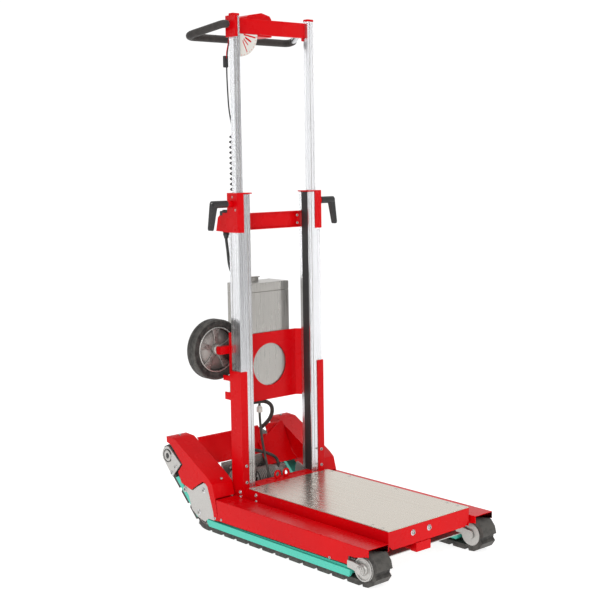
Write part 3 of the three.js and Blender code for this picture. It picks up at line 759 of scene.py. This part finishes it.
# ------------------------------------------------------------------ mast strips and small fittings
for name, side in SIDES:
    strip = Soup()
    side_block(strip, side, (118.3, 29, 141), (119.7, 57, 1044), 0.0006)
    finish_piece(strip, f"mast_strip_{name}", "load_frame", "black_plastic")

    # Thin dark strips along the mast and post faces where they have grooves: painted shade in the grooves.
    painted_groove_shade = Soup()
    for x, half in ((131.5, 0.9), (122.5, 0.5)):
        side_block(painted_groove_shade, side, (x - half, 23.75, 101), (x + half, 24.5, 1043), 0.0001)
    side_block(painted_groove_shade, side, (166.5, 58.5, 500.5), (167.25, 60, 927), 0.0001)
    finish_piece(painted_groove_shade, f"mast_grooves_{name}", "load_frame", "dark_steel")
    post_painted_groove_shade = Soup()
    for x, half in ((144.5, 0.8), (155.5, 0.5)):
        side_block(post_painted_groove_shade, side, (x - half, 35.75, 881), (x + half, 36.5, 1574), 0.0001)
    finish_piece(post_painted_groove_shade, f"post_grooves_{name}", "handle_frame", "dark_steel")

    post_cap = Soup()
    side_block(post_cap, side, (135.9, 35.4, 1574.5), (162.1, 56.2, 1582), 0.0018)
    finish_piece(post_cap, f"post_cap_{name}", "handle_frame", "red_paint")

    lever_fit = Soup()
    lever_fit.turned([
        (0, 0.0052), (0, 0.0098), (0.001, 0.0104), (0.0165, 0.0104), (0.018, 0.0094), (0.018, 0.0086),
        (0.001, 0.0086), (0, 0.0052),
    ], at(side * 172.6, 48, 1015), (side, 0, 0), 36)
    finish_piece(lever_fit, f"lever_boss_{name}", f"clamp_lever_{name}", "red_paint")
    lever_end = Soup()
    lever_end.turned([
        (-0.004, 0), (-0.004, 0.0062), (0.0006, 0.0062), (0.0018, 0.0052), (0.0018, 0.003, 6),
        (-0.001, 0.0028, 6), (-0.001, 0),
    ], at(side * 247, 48, 1015), (side, 0, 0), 24)
    finish_piece(lever_end, f"lever_screw_{name}", f"clamp_lever_{name}", "zinc_steel")

fittings = Soup()
block(fittings, at(-141, 69.6, 870), at(-125, 79, 884), 0.0015)
block(fittings, at(-84, 122, 759.5), at(-68, 138, 770), 0.002)
fittings.turned([
    (0, 0), (0, 0.0095), (0.010, 0.0095), (0.013, 0.0078), (0.020, 0.0066), (0.020, 0),
], at(-156, 98, 928.5), DOWN, 24)
for x, y, z, axis in ((-65.5, 150, 364, (1, 0, 0)), (90, 261.8, 238, (0, 0.1, -1))):
    fittings.turned([
        (0, 0), (0, 0.0105, 6), (0.007, 0.0105, 6), (0.008, 0.0092), (0.014, 0.0088), (0.0165, 0.0075),
        (0.0165, 0),
    ], at(x, y, z), axis, 24)
finish_piece(fittings, "cable_fittings", "load_frame", "black_plastic")

red_fittings = Soup()
block(red_fittings, at(-172, 73.5, 407), at(-166.5, 102, 431), 0.0012)
block(red_fittings, at(-171, 80, 409), at(-158, 100, 429), 0.002)
finish_piece(red_fittings, "foot_cover_block", "load_frame", "red_paint")

switch_cap = Soup()
block(switch_cap, at(-167.5, 78, 977), at(-148.5, 115, 992.5), 0.003)
block(switch_cap, at(-164, 86, 991), at(-152, 106, 996), 0.002)
finish_piece(switch_cap, "switch_cap", "load_frame", "black_plastic")

top_gland = Soup()
block(top_gland, at(-157, 60.2, 1520), at(-139, 77, 1540), 0.002)
block(top_gland, at(-157, 84, 1425), at(-143, 95, 1460), 0.0022)
top_gland.turned([
    (0, 0), (0, 0.0068), (0.006, 0.0058), (0.011, 0.0034), (0.011, 0),
], at(-148, 68, 1521), DOWN, 24)
finish_piece(top_gland, "top_gland", "handle_frame", "black_plastic")

signal_tag = Soup()
block(signal_tag, at(-27, 113, 339), at(-11, 127, 357), 0.0022)
block(signal_tag, at(-24.5, 115.5, 356), at(-13.5, 124.5, 361), 0.0012)
finish_piece(signal_tag, "signal_connector", "load_frame", "white_plastic")

red_wire_path = smooth_path([
    at(-151, 83, 1452), at(-153, 80, 1470), at(-151, 74, 1496), at(-150, 70, 1518),
], 0.004)
red_wire = new_piece(
    "red_wire", tube_mesh("red_wire", red_wire_path, 0.0013, 10), "handle_frame", "red_paint"
)

# ------------------------------------------------------------------ battery box and lid
box_trim = Soup()
for z in (404, 724):
    for x in (-80, 80):
        socket_screw(box_trim, at(x, 186, z), BACKWARD, 0.0035, 0.0024)
for x in (-78, 78):
    flat_screw(box_trim, at(x, 100, 760), UP, 0.004)
    flat_screw(box_trim, at(x, 178, 760), UP, 0.004)
finish_piece(box_trim, "battery_box_screws", "load_frame", "zinc_steel")

# ------------------------------------------------------------------ handle
HANDLE_POINTS = [(-172.3, 45, 1549), (-190, 45, 1549), (-228, 188, 1521), (201, 188, 1521),
                 (149.5, 94, 1540), (149.5, 60.3, 1540)]
handle_path = [at(*p) for p in rounded_loop(HANDLE_POINTS, [14, 38, 38, 16], 10)]
TUBE_RADIUS = 0.0095
FOAM_RADIUS = 0.0118
FOAM_STEP = 0.003
FOAM_START = 0.003
BARE_END = 0.108
TAPER_LENGTH = 0.003
TAPER_CURVE = 180

new_piece(
    "handle_tube", tube_mesh("handle_tube", even_path(handle_path, 0.006), TUBE_RADIUS, 24),
    "handle_frame", "mast_aluminium"
)
foam_path = slice_path(handle_path, FOAM_START, path_length(handle_path) - BARE_END)
foam_path = even_path(foam_path, FOAM_STEP)
foam_radii = []
for i in range(len(foam_path)):
    reach = min(i, len(foam_path) - 1 - i) * FOAM_STEP
    foam_radii.append(FOAM_RADIUS - max(0, TAPER_LENGTH - reach) ** 2 * TAPER_CURVE)
handle_foam = new_piece(
    "handle_foam", tube_mesh("handle_foam", foam_path, FOAM_RADIUS, 28, foam_radii),
    "handle_frame", "grip_foam"
)
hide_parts("handle")

# ------------------------------------------------------------------ control box and indicator
control_trim = Soup()
block(control_trim, at(-53.5, 114.8, 1543.5), at(-50.9, 121, 1568.5), 0.0008)
block(control_trim, at(-27.1, 114.8, 1543.5), at(-24.5, 121, 1568.5), 0.0008)
control_trim.turned([
    (0, 0.0112), (0, 0.0145), (0.0014, 0.0145), (0.0024, 0.0135), (0.0024, 0.0118), (0, 0.0112),
], at(-68, 119.6, 1556), BACKWARD, 36)
finish_piece(control_trim, "control_bezels", "handle_frame", "black_plastic")

dial = Soup()
DIAL = (-126, 1523.7)
DIAL_FRONT_Y = 46.6
DIAL_BACK_Y = 47.2


def dial_bar(angle, near, far, half):
    """A painted bar on the dial, pointing at an angle below the horizontal (mm)."""
    angle = math.radians(angle)
    along = (math.cos(angle), -math.sin(angle))
    across = (math.sin(angle), math.cos(angle))
    corners = [
        (DIAL[0] + along[0] * r + across[0] * w, DIAL[1] + along[1] * r + across[1] * w)
        for r, w in ((near, -half), (far, -half), (far, half), (near, half))
    ]
    depth = at(0, DIAL_BACK_Y, 0) - at(0, DIAL_FRONT_Y, 0)
    drawn_out(dial, [at(x, DIAL_FRONT_Y, z) for x, z in corners], depth, 0.0001, 2)


for bar in ((9, 14, 60, 2.2), (28, 22, 48, 2.6), (47, 20, 44, 1.6), (64, 22, 60, 1.4)):
    dial_bar(*bar)
for i in range(9):
    dial_bar(6 + 10 * i, 61.5, 65.5, 0.5)
finish_piece(dial, "indicator_lines", "handle_frame", "red_paint")

# ------------------------------------------------------------------ gear motor between the masts
MOTOR_AXLE = (152, 112)
PINION_AXLE = (150, 128)
MOTOR_RIBS = 11
RIB_PITCH = 7.2
PINION_TEETH = 18

gear_iron = Soup()
gear_bright = Soup()
for i in range(MOTOR_RIBS):
    x = -20 + RIB_PITCH * i
    gear_iron.turned([
        (0, 0.033), (0, 0.0365), (0.003, 0.0365), (0.003, 0.033), (0, 0.033),
    ], at(x, *MOTOR_AXLE), (1, 0, 0), 40)
for x, y, z, r in ((-108.2, *PINION_AXLE, 12), (-92.5, 168, 78, 9)):
    gear_bright.turned([
        (0, 0), (0, r * MM), (0.0025, r * MM), (0.004, (r - 2) * MM), (0.004, 0.004, 6),
        (0.001, 0.0035, 6), (0.001, 0),
    ], at(x, y, z), (-1, 0, 0), 32)
for y, z in ((129, 158), (182, 158), (129, 60), (182, 60)):
    socket_screw(gear_bright, at(-92.5, y, z), (-1, 0, 0), 0.004, 0.004)
for x in (-84, -63, -42):
    socket_screw(gear_bright, at(x, 132, 164), UP, 0.0042, 0.004)
    socket_screw(gear_bright, at(x, 178, 164), UP, 0.0042, 0.004)
for k in range(6):
    angle = math.radians(30 + 60 * k)
    y = MOTOR_AXLE[0] + 33.5 * math.cos(angle)
    z = MOTOR_AXLE[1] + 33.5 * math.sin(angle)
    hex_nut(gear_bright, at(-36, y, z), (1, 0, 0), 0.004, 0.003, 0.0016)
half_tooth = 2 * math.pi / PINION_TEETH * 0.24
tooth = (
    (25, -half_tooth * 1.3), (29.5, -half_tooth * 0.6), (29.5, half_tooth * 0.6), (25, half_tooth * 1.3),
)
for k in range(PINION_TEETH):
    angle = 2 * math.pi * k / PINION_TEETH
    corners = []
    for radius, turn in tooth:
        y = PINION_AXLE[0] + radius * math.cos(angle + turn)
        z = PINION_AXLE[1] + radius * math.sin(angle + turn)
        corners.append(at(-106, y, z))
    drawn_out(gear_iron, corners, at(-94, 0, 0) - at(-106, 0, 0), 0.0004, 2)
for y in (146, 166):
    gear_iron.turned([
        (0, 0), (0, 0.008), (0.012, 0.008), (0.013, 0.0065), (0.018, 0.0065), (0.018, 0),
    ], at(-56, y, 164), UP, 24)
block(gear_iron, at(68, 150, 91), at(112, 184, 142), 0.003)
block(gear_iron, at(-118, 196.5, 130), at(118, 201, 176.5), 0.0008)
finish_piece(gear_iron, "sector_drive_ribs", "chassis", "dark_steel")
finish_piece(gear_bright, "sector_drive_screws", "chassis", "zinc_steel")

# A loom of thin wires in a spiral sleeve, from the gear motor up to the drive motor.
LOOM_RADIUS = 0.0048
loom_path = smooth_path([
    at(80, 152, 134), at(82, 152, 150), at(76, 160, 168), at(56, 178, 182),
    at(28, 206, 192), at(16, 229, 196),
], 0.0013)
loom_radii = [LOOM_RADIUS + (RIB_DEPTH if i % 4 < 2 else 0) for i in range(len(loom_path))]
loom = new_piece(
    "motor_loom", tube_mesh("motor_loom", loom_path, LOOM_RADIUS, 14, loom_radii), "chassis", "rubber"
)

# ------------------------------------------------------------------ tyre and wheel
WHEEL_X = -185
WHEEL_Z = 563
WHEEL_FRONT = at(WHEEL_X, 112, WHEEL_Z)
TYRE_WIDTH = 40
SPOKES = 5
SPOKE_DEPTH = 0.018


def ring_profile(points):
    """Profile of a ring about the wheel's axle: (depth behind the wheel's front, radius) in mm."""
    return [(depth * MM, radius * MM) for depth, radius in points]


tyre_points = [
    (9, 71), (6, 72.5), (4.6, 75), (3.2, 79), (2.2, 84), (1.6, 88.4), (1.2, 89), (1.2, 90.2), (1.9, 92.4),
    (3.4, 93.9), (5.4, 94.5), (19.6, 94.5), (20, 94.2),
]
tyre_profile = tyre_points + [(TYRE_WIDTH - depth, radius) for depth, radius in reversed(tyre_points[:-1])]
tyre = Soup()
tyre.turned(ring_profile(tyre_profile + tyre_profile[:1]), WHEEL_FRONT, BACKWARD, 96)
tyre_tread = finish_piece(tyre, "tyre_tread", "wheel", "rubber")

rim = Soup()
rim.turned(ring_profile([
    (5, 70.6), (4.2, 69.6), (4.2, 67.2), (5.2, 66.4), (9, 65), (14, 64.2), (26, 64.2), (31, 65),
    (34.8, 66.4), (35.8, 67.2), (35.8, 69.6), (35, 70.6), (31, 71.4), (9, 71.4), (5, 70.6),
]), WHEEL_FRONT, BACKWARD, 80)
rim.turned(ring_profile([
    (0.6, 6.6), (0.6, 15.5), (1.4, 16.4), (12, 18.4), (28, 18.4), (38.6, 16.4), (39.4, 15.5), (39.4, 6.6),
    (0.6, 6.6),
]), WHEEL_FRONT, BACKWARD, 48)
for i in range(SPOKES):
    turn = math.radians(90 + 360 / SPOKES * i)
    along = Vector((math.cos(turn), 0, math.sin(turn)))
    across = Vector((-math.sin(turn), 0, math.cos(turn)))
    corners = [
        at(WHEEL_X, 122, WHEEL_Z) + along * (reach * MM) + across * (half * MM)
        for reach, half in ((15, -6.5), (40, -8.5), (66, -15), (66, 15), (40, 8.5), (15, 6.5))
    ]
    drawn_out(rim, corners, Vector((0, SPOKE_DEPTH, 0)), 0.0018, 3)
web = ring_profile([(15, 17), (15, 65), (24, 65), (24, 17), (15, 17)])
rim.turned(web, WHEEL_FRONT, BACKWARD, 64)
rim_piece = finish_piece(rim, "rim_casting", "wheel", "dark_steel")

bright = Soup()
bright.turned(ring_profile([
    (3.7, 67.6), (3.7, 69.4), (4.6, 70.2), (5.6, 70.2), (5.6, 67), (3.7, 67.6),
]), WHEEL_FRONT, BACKWARD, 80)
bright.turned(ring_profile([
    (0.2, 7.5), (0.2, 14.8), (1.2, 15.2), (1.2, 7.5), (0.2, 7.5),
]), WHEEL_FRONT, BACKWARD, 48)
finish_piece(bright, "rim_machined_faces", "wheel", "zinc_steel")
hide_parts("rim")
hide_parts("tyre")

axle_end = Soup()
washer(axle_end, at(WHEEL_X, 152.6, WHEEL_Z), BACKWARD, 0.0105, 0.0014)
hex_nut(axle_end, at(WHEEL_X, 153.8, WHEEL_Z), BACKWARD, 0.0085, 0.0035, 0.0052)
axle_end.turned([
    (0, 0), (0, 0.0052), (0.003, 0.0046), (0.003, 0),
], at(WHEEL_X, 153, WHEEL_Z), BACKWARD, 24)
for z in (497, 603):
    socket_screw(axle_end, at(-155, 88.5, z), BACKWARD, 0.0042, 0.003)
finish_piece(axle_end, "wheel_axle_nut", "wheel_arm", "zinc_steel")


# ------------------------------------------------------------------ edges and paint on the CAD nodes
BEVELS = {
    "belt_left": 0.0012, "belt_right": 0.0012, "mast_left": 0.0012, "mast_right": 0.0012,
    "rail_left": 0.0022, "rail_right": 0.0022, "load_tray": 0.0016, "load_plate": 0.0008,
    "arm_cover_left": 0.0016, "arm_cover_right": 0.0016, "control_box": 0.003, "top_crossbar": 0.0016,
    "collar_left": 0.0014, "collar_right": 0.0014, "foot_cover_left": 0.0014, "foot_cover_right": 0.0014,
    "drive_motor": 0.0015, "battery_box": 0.0014, "battery_lid": 0.0014, "switch_box": 0.002,
    "chassis_frame": 0.0012, "wheel_arm": 0.001, "actuator_cylinder": 0.0012,
}
SMALL_BEVEL = 0.0008
BEVEL_ANGLE = 28
FLAT_ANGLE = 0.5
WELD_REACH = 0.00002
# Nodes that a piece of this script stands for, and that stay unseen.
REPLACED = {
    "cable_coil", "cable_upper", "cable_lower", "power_hose", "signal_cable", "tyre", "rim", "handle",
}
for name, node in nodes.items():
    dress(node, slot_of_node[name])
    if name in REPLACED:
        continue
    weld = node.modifiers.new("weld", "WELD")
    weld.merge_threshold = WELD_REACH
    flat = node.modifiers.new("merge_flats", "DECIMATE")
    flat.decimate_type = "DISSOLVE"
    flat.angle_limit = math.radians(FLAT_ANGLE)
    flat.delimit = {"NORMAL"}
    bevel = node.modifiers.new("round_edges", "BEVEL")
    bevel.width = BEVELS.get(name, SMALL_BEVEL)
    bevel.segments = 3
    bevel.limit_method = "ANGLE"
    bevel.angle_limit = math.radians(BEVEL_ANGLE)
    for face in node.data.polygons:
        face.use_smooth = True
    weighted = node.modifiers.new("flat_shading", "WEIGHTED_NORMAL")
    weighted.keep_sharp = True
    weighted.weight = 80


# ------------------------------------------------------------------ floor, lights and world
FLOOR_RADIUS = 2.6
FLOOR_HEIGHT = -0.0005
FLOOR_CORNERS = 48
LIGHTS = (  # name, place, target, size, power
    ("key_left_front", (-3.2, -2.2, 2.6), (0, -0.1, 0.6), (2.2, 2.6), 62),
    ("front_low", (-0.6, -3.6, 0.9), (0, -0.2, 0.5), (0.8, 1.2), 14),
    ("top", (0, 0.2, 3.6), (0, -0.1, 0.3), (2.2, 2.2), 22),
    ("streak_right", (3.1, -2.9, 1.0), (0, 0.0, 0.9), (0.22, 3.0), 9),
    ("streak_left", (-2.6, 3.3, 1.2), (0, 0.1, 0.9), (0.2, 2.6), 7),
    ("rear_right", (3.4, 0.8, 2.6), (0, 0.1, 0.6), (1.4, 2.2), 14),
)
# The studio's brightness along the way the camera looks, from behind it to the far side.
LOOK_DIRECTION = (0.661, 0.750, 0.0)
WALL_SHADES = (
    (0.18, 0.6), (0.34, 0.34), (0.5, 0.5), (0.62, 0.3), (0.8, 0.5), (0.93, 0.8), (0.965, 1.05),
)


def make_floor():
    floor = bpy.data.meshes.new("floor")
    edge = []
    for i in range(FLOOR_CORNERS):
        angle = math.pi * i / (FLOOR_CORNERS / 2)
        edge.append((FLOOR_RADIUS * math.cos(angle), FLOOR_RADIUS * math.sin(angle), FLOOR_HEIGHT))
    floor.from_pydata(edge, [], [tuple(range(FLOOR_CORNERS))])
    piece = bpy.data.objects.new("floor", floor)
    bpy.context.scene.collection.objects.link(piece)
    material, tree, bsdf = shader("floor_paper", (0.5, 0.5, 0.5), 0.8, specular=0.1)
    bsdf.inputs["Emission Color"].default_value = (1, 1, 1, 1)
    bsdf.inputs["Emission Strength"].default_value = 0.8
    tree.links.new(ramp(tree, place_noise(tree, 0.8, 3), (0.48, 0.48, 0.48), (0.52, 0.52, 0.52)),
                   bsdf.inputs["Base Color"])
    floor.materials.append(material)


def area_light(name, place, target, size, power):
    data = bpy.data.lights.new(name, "AREA")
    data.shape = "RECTANGLE"
    data.size = size[0]
    data.size_y = size[1]
    data.energy = power
    lamp = bpy.data.objects.new(name, data)
    lamp.location = place
    direction = Vector(target) - Vector(place)
    lamp.rotation_mode = "QUATERNION"
    lamp.rotation_quaternion = direction.to_track_quat("-Z", "Y")
    bpy.context.scene.collection.objects.link(lamp)


make_floor()
for light in LIGHTS:
    area_light(*light)


def make_world():
    """A white studio wall on the far side, greyer walls to the sides for metal to reflect."""
    world = bpy.data.worlds.new("studio")
    bpy.context.scene.world = world
    world.use_nodes = True
    tree = world.node_tree
    background = tree.nodes["Background"]
    background.inputs["Strength"].default_value = 1.0
    coords = tree.nodes.new("ShaderNodeTexCoord")
    facing = tree.nodes.new("ShaderNodeVectorMath")
    facing.operation = "DOT_PRODUCT"
    facing.inputs[1].default_value = LOOK_DIRECTION
    tree.links.new(coords.outputs["Generated"], facing.inputs[0])
    shares = tree.nodes.new("ShaderNodeMapRange")
    shares.inputs["From Min"].default_value = -1
    shares.inputs["From Max"].default_value = 1
    tree.links.new(facing.outputs["Value"], shares.inputs["Value"])
    node = tree.nodes.new("ShaderNodeValToRGB")
    bands = node.color_ramp
    bands.elements[0].position = 0.0
    bands.elements[0].color = (0.85, 0.85, 0.86, 1)
    bands.elements[1].position = 1.0
    bands.elements[1].color = (1.05, 1.05, 1.05, 1)
    for place, shade in WALL_SHADES:
        band = bands.elements.new(place)
        band.color = (shade, shade, shade * 1.01, 1)
    tree.links.new(shares.outputs["Result"], node.inputs["Fac"])
    tree.links.new(node.outputs["Color"], background.inputs["Color"])


make_world()
bpy.context.scene.view_settings.view_transform = "Standard"
